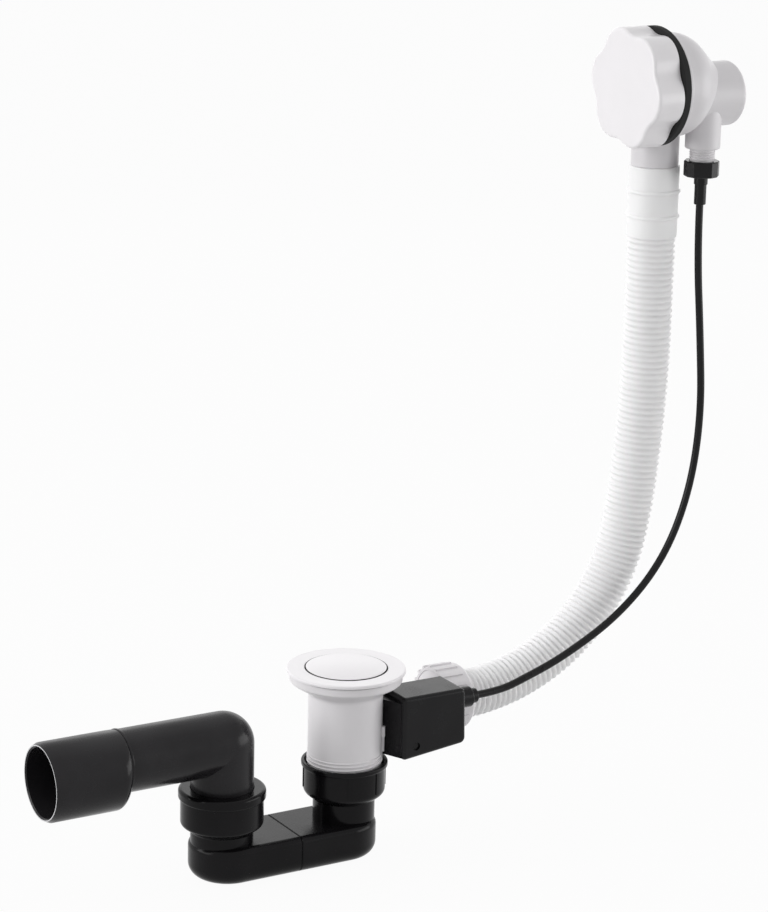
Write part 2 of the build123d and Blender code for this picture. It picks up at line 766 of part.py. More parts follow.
# Knob, spindle and drum turn together
knob_back = bath_face - moving_gap
knob_front = knob_back - knob_depth
lobe_centre = knob_crest - knob_lobe_radius
half_step = pi / knob_lobe_count
valley_radius = ((lobe_centre ** 2 + knob_valley ** 2 - 2 * lobe_centre * knob_valley * cos(half_step)
                  - knob_lobe_radius ** 2)
                 / (2 * (knob_lobe_radius - knob_valley + lobe_centre * cos(half_step))))
valley_centre = knob_valley + valley_radius
lobe_share = knob_lobe_radius / (knob_lobe_radius + valley_radius)


def around(radius, angle):
    return Vector(radius * sin(angle), radius * cos(angle))


def knob_outline(plane, inset):
    with BuildSketch(plane) as outline:
        with BuildLine():
            for lobe in range(knob_lobe_count):
                crest = radians(knob_first_valley) + (2 * lobe + 1) * half_step
                middle = around(lobe_centre, crest)
                before = middle + (around(valley_centre, crest - half_step) - middle) * lobe_share
                after = middle + (around(valley_centre, crest + half_step) - middle) * lobe_share
                following = around(lobe_centre, crest + 2 * half_step)
                last = following + (around(valley_centre, crest + half_step) - following) * lobe_share
                ThreePointArc(before, around(knob_crest, crest), after)
                ThreePointArc(after, around(knob_valley, crest + half_step), last)
        make_face()
        if inset:
            offset(amount=-inset, mode=Mode.REPLACE)
    return outline.sketch


def knob_plane(x):
    return Plane(origin=(x, 0, overflow_z), x_dir=(0, -1, 0), z_dir=(-1, 0, 0))


with BuildPart() as overflow_knob:
    extrude(knob_outline(knob_plane(knob_back), 0), amount=knob_depth)
    fillet(overflow_knob.faces().sort_by(Axis.X)[0].edges(), knob_edge)
    extrude(knob_outline(knob_plane(knob_back), knob_wall), amount=knob_depth - knob_wall, mode=Mode.SUBTRACT)
    hub_end = bath_face - clamp_thickness - screw_head_height
    level_bar(knob_hub_radius, knob_front + knob_wall, hub_end, z=overflow_z)
    with BuildSketch(knob_plane(hub_end)):
        Rectangle(spindle_square + 2 * seat_gap, spindle_square + 2 * seat_gap)
    extrude(amount=hub_end - knob_front - 2 * knob_wall, mode=Mode.SUBTRACT)

with BuildPart() as knob_spindle:
    with BuildSketch(knob_plane(hub_end)):
        Rectangle(spindle_square, spindle_square)
    extrude(amount=hub_end - knob_front - 2 * knob_wall - moving_gap)
    level_bar(spindle_radius, hub_end, drive_end - cap_depth - moving_gap, z=overflow_z)

with BuildPart() as cable_drum:
    groove_root = drum_radius - wire_radius - moving_gap
    turn_level([
        (wire_x - drum_width / 2, spindle_radius),
        (wire_x - drum_width / 2, drum_flange_radius, 0.8),
        (wire_x - drum_groove / 2, drum_flange_radius),
        (wire_x - drum_groove / 2, groove_root),
        (wire_x + drum_groove / 2, groove_root),
        (wire_x + drum_groove / 2, drum_flange_radius),
        (wire_x + drum_width / 2, drum_flange_radius, 0.8),
        (wire_x + drum_width / 2, spindle_radius),
    ], z=overflow_z)

with BuildPart() as wire_end_upper:
    upright_bar(wire_radius, sleeve_end + 1.0, overflow_z, wire_x, -drum_radius)

# Cable: union nut and sleeve under the head, then the sheath down to the gland
with BuildPart() as cable_nut:
    with BuildSketch(Plane.XY.offset(cable_nut_bottom)):
        with Locations((wire_x, -drum_radius)):
            RegularPolygon(cable_nut_radius, cable_nut_flat_count)
    extrude(amount=cable_nut_top - cable_nut_bottom)
    chamfer(cable_nut.edges().group_by(Axis.Z)[-1] + cable_nut.edges().group_by(Axis.Z)[0], 0.6)
    upright_bar(stub_radius + seat_gap, cable_nut_bottom + cable_nut_lip, cable_nut_top, wire_x, -drum_radius,
                mode=Mode.SUBTRACT)
    upright_bar(sleeve_radius + seat_gap, cable_nut_bottom, cable_nut_top, wire_x, -drum_radius,
                mode=Mode.SUBTRACT)

with BuildPart() as cable_sleeve:
    flange_low = cable_nut_bottom + cable_nut_lip
    turn_upright([
        (wire_bore, stub_bottom),
        (sleeve_flange, stub_bottom),
        (sleeve_flange, flange_low),
        (sleeve_radius, flange_low),
        (sleeve_radius, sleeve_step, 0.4),
        (sleeve_tail_radius, sleeve_step),
        (sleeve_tail_radius, sleeve_end, 0.5),
        (wire_bore, sleeve_end),
    ], wire_x, -drum_radius)

cable_route = [
    (wire_x, -drum_radius, sleeve_end),
    (wire_x, -drum_radius, 250.0),
    (259.6, -9.0, 196.0),
    (263.0, -10.2, 140.0),
    (255.5, -11.2, 88.0),
    (236.0, -12.0, 44.0),
    (202.0, -12.8, 11.0),
    (158.0, -13.4, -11.5),
    (126.0, -13.8, -22.0),
    (107.5, wire_y, wire_z),
    (gland_end, wire_y, wire_z),
]
cable_runs = [Vector(b) - Vector(a) for a, b in zip(cable_route, cable_route[1:])]
cable_radii = [
    0.45 * min(a.length, b.length) / tan(radians(a.get_angle(b)) / 2)
    for a, b in zip(cable_runs, cable_runs[1:])
]
with BuildLine() as cable_line:
    FilletPolyline(*cable_route, radius=cable_radii)
cable_wire = cable_line.wire()
with BuildPart() as cable_sheath:
    with BuildSketch(Plane(origin=cable_route[0], z_dir=cable_runs[0])):
        Circle(cable_radius)
    sweep(path=cable_wire)
swept = cable_sheath.part.volume / (pi * cable_radius ** 2 * cable_wire.length)
print("cable bend radii", [round(bend) for bend in cable_radii])
print(f"cable {cable_wire.length:.1f} long, swept volume over section times length {swept:.5f}")

# Trap: union nut, washer and two welded halves of a flat trough
nut_bore = barrel_radius + seat_gap
nut_radius = nut_bore + trap_nut_wall
bead_foot = trap_nut_top - trap_nut_bead_height
with BuildPart() as trap_nut:
    turn_upright([
        (nut_bore + trap_nut_lead, trap_nut_top),
        (nut_radius + trap_nut_bead, trap_nut_top, 0.8),
        (nut_radius + trap_nut_bead, bead_foot, 1.0),
        (nut_radius, bead_foot - 0.6),
        (nut_radius, trap_nut_shoulder, trap_nut_round),
        (trap_radius + 0.9, trap_nut_bottom),
        (trap_radius + seat_gap, trap_nut_bottom),
        (nut_bore, washer_bottom - seat_gap),
        (nut_bore, bead_foot),
    ])
    rib_foot = trap_nut_shoulder + trap_nut_round / 2
    with Locations((0, 0, rib_foot)):
        with PolarLocations(nut_radius - 0.4, trap_nut_rib_count, 22.5):
            Box(2 * trap_nut_rib, 1.8, bead_foot - 0.2 - rib_foot,
                align=(Align.CENTER, Align.CENTER, Align.MIN))

with BuildPart() as trap_washer:
    turn_upright([
        (barrel_bore - 1.5, washer_bottom),
        (barrel_radius - 0.3, washer_bottom),
        (barrel_radius - 0.3, barrel_bottom),
        (barrel_bore - 1.5, barrel_bottom),
    ])


def trough(inset, mode):
    """The flat trough, whole: its rounded ends, its flat top and bottom and its edge radii."""
    middle = (trough_near + trough_far) / 2
    with BuildSketch(Plane.XY.offset(trough_bottom + inset)) as plan:
        with Locations((middle, 0)):
            SlotCenterToCenter(trough_near - trough_far, trough_width - 2 * inset)
    tub = extrude(plan.sketch, amount=trough_top - trough_bottom - 2 * inset, mode=Mode.PRIVATE).solid()
    tub = tub.fillet(trough_bottom_round - inset * 0.8, tub.edges().group_by(Axis.Z)[0])
    tub = tub.fillet(trough_top_round - inset * 0.8, tub.edges().group_by(Axis.Z)[-1])
    add(tub, mode=mode)


pipe_bore = trap_radius - trap_wall
outer_trough = trough_top - trough_top_round - 1
with BuildPart() as trap_inlet_half:
    trough(0, Mode.ADD)
    turn_upright([
        (0, washer_bottom),
        (barrel_radius - 0.3, washer_bottom),
        (trap_radius, trap_nut_bottom),
        (trap_radius, outer_trough),
        (0, outer_trough),
    ])
    split(bisect_by=Plane.YZ.offset(seam_x), keep=Keep.TOP)
    chamfer(trap_inlet_half.faces().sort_by(Axis.X)[0].edges(), seam_groove)
    trough(trap_wall, Mode.SUBTRACT)
    upright_bar(pipe_bore, outer_trough, washer_bottom, mode=Mode.SUBTRACT)

with BuildPart() as trap_outlet_half:
    trough(0, Mode.ADD)
    turn_upright([
        (0, socket_rim),
        (socket_radius, socket_rim),
        (socket_radius, socket_shoulder, 3.0),
        (trap_radius, socket_foot, 1.5),
        (trap_radius, outer_trough),
        (0, outer_trough),
    ], riser_x)
    split(bisect_by=Plane.YZ.offset(seam_x), keep=Keep.BOTTOM)
    chamfer(trap_outlet_half.faces().sort_by(Axis.X)[-1].edges(), seam_groove)
    trough(trap_wall, Mode.SUBTRACT)
    turn_upright([
        (0, socket_rim),
        (socket_seal_chamber, socket_rim),
        (socket_seal_chamber, socket_seal_bottom),
        (trap_radius + moving_gap, socket_seal_bottom),
        (trap_radius + moving_gap, socket_stop),
        (pipe_bore, socket_stop),
        (pipe_bore, outer_trough),
        (0, outer_trough),
    ], riser_x, mode=Mode.SUBTRACT)

cap_skirt = 2.4
with BuildPart() as socket_cap:
    turn_upright([
        (trap_radius + moving_gap, socket_top),
        (socket_lip_radius, socket_top, 2.2),
        (socket_lip_radius, socket_rim, 1.4),
        (socket_seal_chamber - seat_gap, socket_rim),
        (socket_seal_chamber - seat_gap, socket_rim - cap_skirt),
        (trap_radius + moving_gap, socket_rim - cap_skirt),
    ], riser_x)

with BuildPart() as socket_seal:
    turn_upright([
        (trap_radius + moving_gap, socket_rim - cap_skirt),
        (socket_seal_chamber - seat_gap, socket_rim - cap_skirt),
        (socket_seal_chamber - seat_gap, socket_seal_bottom),
        (trap_radius + moving_gap, socket_seal_bottom),
    ], riser_x)

# Outlet: a tight elbow that turns in the socket, welded to an eccentric reducer with a level top
with BuildPart() as outlet_elbow:
    level_bar(trap_radius, weld_x, riser_x, z=outlet_z)
    turn_upright([
        (0, outlet_z),
        (trap_radius, outlet_z),
        (trap_radius, socket_stop + moving_gap, 1.2),
        (0, socket_stop + moving_gap),
    ], riser_x)
    with Locations((riser_x, 0, outlet_z)):
        Sphere(trap_radius)
    level_bar(pipe_bore, weld_x, riser_x, z=outlet_z, mode=Mode.SUBTRACT)
    upright_bar(pipe_bore, socket_stop, outlet_z, riser_x, mode=Mode.SUBTRACT)
    with Locations((riser_x, 0, outlet_z)):
        Sphere(pipe_bore, mode=Mode.SUBTRACT)


def shoulder_station(share):
    """Radius of the reducer's rounded shoulder, from the d40 end (0) to the d50 end (1)."""
    return trap_radius + (outlet_radius - trap_radius) * sin(share * pi / 2)


shoulder_steps = (0.0, 0.3, 0.65, 1.0)
with BuildPart() as outlet_reducer:
    for wall_here, operation in ((0.0, Mode.ADD), (outlet_wall, Mode.SUBTRACT)):
        stations = []
        for share in shoulder_steps:
            radius = shoulder_station(share)
            with BuildSketch(Plane.YZ.offset(reducer_start + (reducer_end - reducer_start) * share),
                             mode=Mode.PRIVATE) as ring:
                with Locations((0, outlet_z - (radius - trap_radius))):
                    Circle(radius - wall_here)
            stations.append(ring.sketch)
        loft(stations, mode=operation)
        level_bar(trap_radius - wall_here, reducer_start, weld_x, z=outlet_z, mode=operation)
        if operation == Mode.ADD:
            turn_level([
                (outlet_end, 0),
                (outlet_end, outlet_radius - outlet_chamfer * 0.45),
                (outlet_end + outlet_chamfer, outlet_radius),
                (reducer_end, outlet_radius),
                (reducer_end, 0),
            ], z=outlet_drop)
            turn_level([
                (weld_x - weld_width, trap_radius - 0.5),
                (weld_x - weld_width, trap_radius + weld_height, 0.4),
                (weld_x, trap_radius + weld_height, 0.4),
                (weld_x, trap_radius - 0.5),
            ], z=outlet_z)
        else:
            level_bar(outlet_radius - wall_here, outlet_end, reducer_end, z=outlet_drop, mode=operation)

pieces = {
    "drain_flange": drain_flange,
    "flange_gasket": flange_gasket,
    "plug_cap": plug_cap,
    "plug_seal": plug_seal,
    "plug_stem": plug_stem,
    "stem_nut": stem_nut,
    "drain_body": drain_body,
    "lever_housing": lever_housing,
    "housing_lid": housing_lid,
    "lever_pin": lever_pin,
    "cable_gland": cable_gland,
    "lift_lever": lift_lever,
    "wire_end_lower": wire_end_lower,
    "overflow_hose": overflow_hose,
    "hose_nut": hose_nut,
    "hose_washer": hose_washer,
    "overflow_body": overflow_body,
    "spigot_ring": spigot_ring,
    "drive_cap": drive_cap,
    "spindle_seal": spindle_seal,
    "overflow_gasket": overflow_gasket,
    "clamp_ring": clamp_ring,
    "clamp_screws": clamp_screws,
    "overflow_knob": overflow_knob,
    "knob_spindle": knob_spindle,
    "cable_drum": cable_drum,
    "wire_end_upper": wire_end_upper,
    "cable_nut": cable_nut,
    "cable_sleeve": cable_sleeve,
    "cable_sheath": cable_sheath,
    "trap_nut": trap_nut,
    "trap_washer": trap_washer,
    "trap_inlet_half": trap_inlet_half,
    "trap_outlet_half": trap_outlet_half,
    "socket_cap": socket_cap,
    "socket_seal": socket_seal,
    "outlet_elbow": outlet_elbow,
    "outlet_reducer": outlet_reducer,
}
for name, piece in pieces.items():
    piece.part.label = name
    export_step(piece.part, f"parts/{name}.step")
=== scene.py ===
from bisect import bisect_right
from math import cos, pi, radians, sin

import bmesh
import bpy
from mathutils import Matrix, Vector


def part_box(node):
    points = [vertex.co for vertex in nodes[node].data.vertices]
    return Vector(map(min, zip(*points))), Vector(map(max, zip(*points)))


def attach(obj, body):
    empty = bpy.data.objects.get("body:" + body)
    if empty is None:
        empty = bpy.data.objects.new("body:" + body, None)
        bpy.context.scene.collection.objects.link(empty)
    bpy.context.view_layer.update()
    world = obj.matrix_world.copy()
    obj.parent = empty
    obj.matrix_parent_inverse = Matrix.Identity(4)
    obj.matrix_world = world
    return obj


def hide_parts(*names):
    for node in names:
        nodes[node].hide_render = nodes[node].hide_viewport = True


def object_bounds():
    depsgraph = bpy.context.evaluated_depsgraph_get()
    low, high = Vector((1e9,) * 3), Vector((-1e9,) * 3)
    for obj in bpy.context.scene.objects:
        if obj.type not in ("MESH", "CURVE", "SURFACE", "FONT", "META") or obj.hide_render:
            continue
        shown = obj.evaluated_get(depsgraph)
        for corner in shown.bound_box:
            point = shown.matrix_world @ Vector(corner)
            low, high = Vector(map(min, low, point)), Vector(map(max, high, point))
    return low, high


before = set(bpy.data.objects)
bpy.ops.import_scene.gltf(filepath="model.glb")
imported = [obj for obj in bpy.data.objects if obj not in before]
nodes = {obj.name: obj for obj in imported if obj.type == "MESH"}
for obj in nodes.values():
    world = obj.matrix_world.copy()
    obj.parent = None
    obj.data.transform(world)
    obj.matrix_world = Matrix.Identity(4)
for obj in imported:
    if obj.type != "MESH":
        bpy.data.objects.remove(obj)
cadLow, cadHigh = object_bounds()
scene = bpy.context.scene
scene.view_settings.view_transform = "Standard"
print("frame loaded,", len(nodes), "nodes")

millimetre = 0.001


def linkMesh(name, bm):
    mesh = bpy.data.meshes.new(name)
    bm.to_mesh(mesh)
    bm.free()
    for face in mesh.polygons:
        face.use_smooth = True
    piece = bpy.data.objects.new(name, mesh)
    scene.collection.objects.link(piece)
    return piece


def turnAngles(steps):
    return [2 * pi * step / steps for step in range(steps)]


def addLoop(bm, places):
    return [bm.verts.new(Vector(place) * millimetre) for place in places]


# Joins each loop of points to the next with a band of faces, and the last to the first if closed
def skinLoops(bm, loops, closed=True):
    bands = []
    for near, far in zip(loops, loops[1:] + loops[:1] if closed else loops[1:]):
        band = []
        for index in range(len(near)):
            following = (index + 1) % len(near)
            band.append(bm.faces.new((near[index], near[following], far[following], far[index])))
        bands.append(band)
    return bands


def linkSkin(name, bm):
    bmesh.ops.recalc_face_normals(bm, faces=bm.faces)
    return linkMesh(name, bm)


# Camera at the photograph's viewpoint
viewpoint = {
    "place": (-1.00075, -1.70903, 0.68875),
    "yaw": radians(59.04),
    "pitch": radians(15.435),
    "roll": radians(-1.289),
    "focalPixels": 3283.05,
    "photoHeight": 912,
    "farthest": 50,
}


def makeCamera(settings):
    yaw, pitch, roll = settings["yaw"], settings["pitch"], settings["roll"]
    level = Vector((cos(yaw), sin(yaw), 0))
    side = Vector((sin(yaw), -cos(yaw), 0))
    up = Vector((0, 0, 1))
    forward = level * cos(pitch) - up * sin(pitch)
    down = -level * sin(pitch) - up * cos(pitch)
    right = side * cos(roll) + down * sin(roll)
    below = -side * sin(roll) + down * cos(roll)
    camera = bpy.data.objects.new("camera", bpy.data.cameras.new("camera"))
    camera.data.lens = settings["focalPixels"] * camera.data.sensor_width / settings["photoHeight"]
    camera.data.clip_end = settings["farthest"]
    turned = Matrix((right, -below, -forward)).transposed().to_4x4()
    camera.matrix_world = Matrix.Translation(settings["place"]) @ turned
    scene.collection.objects.link(camera)
    scene.camera = camera


makeCamera(viewpoint)
print("camera placed")

# Pull cable, from the sleeve under the head to the gland on the lever box
cableRoute = {
    "radius": 2.5 * millimetre,
    "length": 0.41,
    "smoothness": 16,
    "roundness": 5,
    "points": [
        (255.11, -7.8, 282.4),
        (255.11, -7.8, 250.0),
        (259.6, -9.0, 196.0),
        (263.0, -10.2, 140.0),
        (255.5, -11.2, 88.0),
        (236.0, -12.0, 44.0),
        (202.0, -12.8, 11.0),
        (158.0, -13.4, -11.5),
        (126.0, -13.8, -22.0),
        (107.5, -14.0, -27.0),
        (89.5, -14.0, -27.0),
    ],
}


def smoothRoute(name, points, smoothness):
    curve = bpy.data.curves.new(name, "CURVE")
    curve.dimensions = "3D"
    curve.resolution_u = smoothness
    spline = curve.splines.new("NURBS")
    spline.points.add(len(points) - 1)
    for point, (x, y, z) in zip(spline.points, points):
        point.co = (x * millimetre, y * millimetre, z * millimetre, 1)
    spline.order_u = 3
    spline.use_endpoint_u = True
    return curve


def makeCable(settings):
    curve = smoothRoute("pullCable", settings["points"], settings["smoothness"])
    curve.bevel_depth = 1.0  # the points carry the radius, so the box fits the cable
    curve.bevel_resolution = settings["roundness"]
    for point in curve.splines[0].points:
        point.radius = settings["radius"]
    cable = bpy.data.objects.new("pullCable", curve)
    scene.collection.objects.link(cable)
    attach(cable, "frame")
    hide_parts("cable_sheath")
    return cable


pullCable = makeCable(cableRoute)
print("cable laid")

# Threads that show above the two union nuts, wound on the plain CAD cylinders
wasteThread = {
    "around": "trap_nut", "radius": 23.9, "bottom": -61.4, "top": -53.2,
    "pitch": 2.31, "height": 0.5, "flank": 0.85, "tipShare": 0.28, "sink": 0.3,
    "stepsPerTurn": 72, "runOut": 0.35, "endShare": 0.35,
}
stubThread = {
    "around": "cable_sleeve", "radius": 8.0, "bottom": 311.6, "top": 318.4,
    "pitch": 1.5, "height": 0.38, "flank": 0.6, "tipShare": 0.28, "sink": 0.2,
    "stepsPerTurn": 48, "runOut": 0.3, "endShare": 0.35,
}


def windThread(name, settings):
    low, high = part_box(settings["around"])
    centre = (Vector(low) + Vector(high)) / 2 / millimetre
    turns = (settings["top"] - settings["bottom"]) / settings["pitch"]
    steps = round(turns * settings["stepsPerTurn"])
    inner = settings["radius"] - settings["sink"]
    bm = bmesh.new()
    loops = []
    for step in range(steps + 1):
        turn = turns * step / steps
        fade = min(1.0, turn / settings["runOut"], (turns - turn) / settings["runOut"])
        outer = settings["radius"] + settings["height"] * fade
        half = settings["flank"] * (settings["endShare"] + (1 - settings["endShare"]) * fade)
        tip = half * settings["tipShare"]
        height = settings["bottom"] + turn * settings["pitch"]
        angle = 2 * pi * turn
        corners = ((inner, -half), (outer, -tip), (outer, tip), (inner, half))
        loops.append(addLoop(bm, [
            (centre.x + reach * cos(angle), centre.y + reach * sin(angle), height + rise)
            for reach, rise in corners]))
    skinLoops(bm, loops, closed=False)
    bm.faces.new(loops[0])
    bm.faces.new(reversed(loops[-1]))
    thread = linkSkin(name, bm)
    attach(thread, "frame")
    return thread


wasteTurns = windThread("wasteThread", wasteThread)
stubTurns = windThread("stubThread", stubThread)
print("threads wound")

# Dark rubber rings as painted shadow: the real seal round the plug and the gasket under the rim, widened so
# that they show as the dark lines of shade under the two rims, each a section of radius and height
rubberShadowLines = {
    "turnSteps": 192,
    "plugSealShadowLip": [(25.5, 0.9), (26.44, 0.9), (26.5, 1.9), (26.4, 2.16), (26.1, 2.26), (25.6, 2.22)],
    "rimGasketShadowBead": [(35.6, -0.76), (36.5, -0.74), (36.72, -0.4), (36.5, -0.06), (35.6, -0.04)],
}


def turnRing(name, settings, body):
    bm = bmesh.new()
    loops = []
    for angle in turnAngles(settings["turnSteps"]):
        loops.append(addLoop(bm, [
            (radius * cos(angle), radius * sin(angle), height) for radius, height in settings[name]]))
    skinLoops(bm, loops)
    ring = linkSkin(name, bm)
    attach(ring, body)
    return ring


plugShadowLine = turnRing("plugSealShadowLip", rubberShadowLines, "plug")
rimShadowLine = turnRing("rimGasketShadowBead", rubberShadowLines, "frame")
print("rubber edges turned")

# Outlet reducer: a full round shoulder on the eccentric step from 40 to 50 mm, with a cut end whose face is
# painted pale as a highlight
reducerShape = {
    "turnSteps": 176, "sharpAngle": radians(32),
    "smallRadius": 20.0, "largeRadius": 25.0, "wall": 3.0, "smallMiddle": -34.0,
    "weldAt": -159.6, "shoulderAt": -161.4, "shoulderLength": 6.4, "shoulderSteps": 14,
    "chamferAt": -210.9, "endAt": -213.9, "endRadius": 23.6, "mouthRadius": 22.9, "mouthDepth": 0.9,
    "bead": [  # place along X and radius
        (-159.6, 20.05), (-159.75, 20.4), (-160.1, 20.5), (-160.9, 20.5), (-161.25, 20.4), (-161.38, 20.1),
    ],
}


def shoulderRings(shape, inset):
    step = shape["largeRadius"] - shape["smallRadius"]
    rings = []
    for count in range(shape["shoulderSteps"] + 1):
        share = (count / shape["shoulderSteps"]) ** 2  # closer together at the start of the curve
        growth = step * (1 - (1 - share) ** 2) ** 0.5
        rings.append((shape["shoulderAt"] - shape["shoulderLength"] * share,
                      shape["smallRadius"] + growth - inset, shape["smallMiddle"] - growth))
    return rings


def makeReducer(shape):
    low = shape["smallMiddle"] - shape["largeRadius"] + shape["smallRadius"]
    rings = [(x, radius, shape["smallMiddle"]) for x, radius in shape["bead"]]
    rings += shoulderRings(shape, 0.0)
    rings += [(shape["chamferAt"], shape["largeRadius"], low), (shape["endAt"], shape["endRadius"], low)]
    paintedHighlightBand = len(rings) - 1
    rings += [(shape["endAt"], shape["mouthRadius"], low),
              (shape["endAt"] + shape["mouthDepth"], shape["largeRadius"] - shape["wall"], low)]
    rings += reversed(shoulderRings(shape, shape["wall"]))
    rings.append((shape["weldAt"], shape["smallRadius"] - shape["wall"], shape["smallMiddle"]))
    bm = bmesh.new()
    loops = []
    for x, radius, middle in rings:
        loops.append(addLoop(bm, [
            (x, radius * cos(angle), middle + radius * sin(angle))
            for angle in turnAngles(shape["turnSteps"])]))
    bands = skinLoops(bm, loops)
    for face in bands[paintedHighlightBand]:
        face.material_index = 1  # the end face, painted pale as a highlight on the black pipe
    reducer = linkSkin("outletReducer", bm)
    reducer.data.set_sharp_from_angle(angle=shape["sharpAngle"])
    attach(reducer, "outlet")
    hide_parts("outlet_reducer")
    return reducer


outletReducer = makeReducer(reducerShape)
print("outlet reducer formed")

# Overflow hose: round crests and roots along one smooth line, from the side port up to the head
hoseRoute = {
    "planeY": 16.0, "smoothness": 48,
    "points": [  # X and Z
        (87.0, -37.2), (95.0, -37.2), (111.8, -37.2), (138.4, -31.7), (163.4, -20.9), (184.2, -6.4),
        (200.6, 10.8), (213.2, 30.9), (221.7, 53.0), (229.2, 97.8), (234.7, 164.8), (234.7, 232.0),
        (234.7, 306.0),
    ],
}
hoseShape = {
    "turnSteps": 64, "ringsPerRidge": 8, "ridges": 94, "crispness": 0.8,
    "crest": 15.9, "root": 14.3, "bore": 12.8, "boreRings": 60,
    "collar": [  # distance from the hose's lower end, and radius
        (0.0, 18.5), (0.5, 19.0), (3.3, 19.0), (3.4, 18.9), (3.4, 15.4), (3.6, 15.2), (9.6, 15.2),
    ],
    "cuffLength": 47.3, "cuffRadius": 16.6,
    "cuff": [(0.05, 15.6), (0.25, 16.2), (0.8, 16.6), (1.3, 16.6)],  # from the end of the ridges
    "cuffTop": [  # from the hose's upper end, over its rim and down its socket
        (-1.3, 16.6), (-0.7, 16.6), (-0.2, 16.45), (0.0, 16.0), (0.0, 13.9), (-0.3, 13.4), (-32.8, 13.4),
        (-33.0, 12.9),
    ],
    "beadsAt": [14.3, 30.8], "beadHalf": 1.3, "beadRise": 1.2, "beadSteps": 8, "beadFoot": 0.4,
}


def hoseLine(route):
    points = [(x, route["planeY"], z) for x, z in route["points"]]
    curve = smoothRoute("hoseLine", points, route["smoothness"])
    holder = bpy.data.objects.new("hoseLine", curve)
    mesh = bpy.data.meshes.new_from_object(holder)
    line = [vertex.co / millimetre for vertex in mesh.vertices]
    bpy.data.objects.remove(holder)
    bpy.data.curves.remove(curve)
    bpy.data.meshes.remove(mesh)
    return line


# Distance along the hose and radius of each ring: up the outside, then back down the bore
def hoseStations(shape, length):
    start = shape["collar"][-1][0]
    end = length - shape["cuffLength"]
    stations = list(shape["collar"])
    count = shape["ridges"] * shape["ringsPerRidge"]
    for index in range(1, count + 1):
        wave = (1 - cos(2 * pi * index / shape["ringsPerRidge"])) / 2
        stations.append((start + (end - start) * index / count,
                         shape["root"] + (shape["crest"] - shape["root"]) * wave ** shape["crispness"]))
    stations += [(end + ahead, radius) for ahead, radius in shape["cuff"]]
    foot = shape["beadHalf"] + shape["beadFoot"]
    for bead in shape["beadsAt"]:
        stations.append((end + bead - foot, shape["cuffRadius"]))
        for step in range(shape["beadSteps"] + 1):
            angle = pi * step / shape["beadSteps"]
            stations.append((end + bead - shape["beadHalf"] * cos(angle),
                             shape["cuffRadius"] + shape["beadRise"] * sin(angle)))
        stations.append((end + bead + foot, shape["cuffRadius"]))
    stations += [(length + ahead, radius) for ahead, radius in shape["cuffTop"]]
    inside = stations[-1][0]
    for step in range(shape["boreRings"] + 1):
        stations.append((inside * (1 - step / shape["boreRings"]), shape["bore"]))
    return stations


def makeHose(route, shape):
    line = hoseLine(route)
    marks = [0.0]
    for near, far in zip(line, line[1:]):
        marks.append(marks[-1] + (far - near).length)
    headings = [(far - near).normalized() for near, far in zip(line[:1] + line, line[1:] + line[-1:])]
    across = Vector((0, 1, 0))
    bm = bmesh.new()
    loops = []
    for distance, radius in hoseStations(shape, marks[-1]):
        index = min(max(bisect_right(marks, distance), 1), len(line) - 1)
        share = (distance - marks[index - 1]) / (marks[index] - marks[index - 1])
        middle = line[index - 1].lerp(line[index], share)
        over = across.cross(headings[index - 1].lerp(headings[index], share)).normalized()
        loops.append(addLoop(bm, [
            middle + radius * (over * cos(angle) + across * sin(angle))
            for angle in turnAngles(shape["turnSteps"])]))
    skinLoops(bm, loops)
    hose = linkSkin("overflowHose", bm)
    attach(hose, "frame")
    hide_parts("overflow_hose")
    print("hose formed,", round(marks[-1] - shape["cuffLength"], 1), "mm to its cuff")
    return hose


overflowHose = makeHose(hoseRoute, hoseShape)

# Shader groups that all the finishes share: the skin a mould leaves, and streaks from handling
skinLook = {"grainDetail": 3, "mottleDetail": 4}
markLook = {
    "turn": (0.4, 0.7, 0.3), "stretch": (1.0, 9.0, 9.0), "streakDetail": 6,
    "streakFrom": 0.62, "streakTo": 0.72, "patchScale": 18, "patchTo": 0.75,
}


def newGroup(name, inputs, outputs):
    group = bpy.data.node_groups.new(name, "ShaderNodeTree")
    for label in inputs:
        group.interface.new_socket(label, in_out="INPUT", socket_type="NodeSocketFloat")
    for label in outputs:
        group.interface.new_socket(label, in_out="OUTPUT", socket_type="NodeSocketFloat")
    return group, group.nodes.new("NodeGroupInput"), group.nodes.new("NodeGroupOutput")


def mouldSkinGroup(look):
    group, entry, result = newGroup("mouldSkin", ["Grain Scale", "Mottle Scale"], ["Grain", "Mottle"])
    place = group.nodes.new("ShaderNodeTexCoord")
    for label, detail in (("Grain", look["grainDetail"]), ("Mottle", look["mottleDetail"])):
        noise = group.nodes.new("ShaderNodeTexNoise")
        noise.inputs["Detail"].default_value = detail
        group.links.new(place.outputs["Object"], noise.inputs["Vector"])
        group.links.new(entry.outputs[label + " Scale"], noise.inputs["Scale"])
        group.links.new(noise.outputs["Fac"], result.inputs[label])
    return group


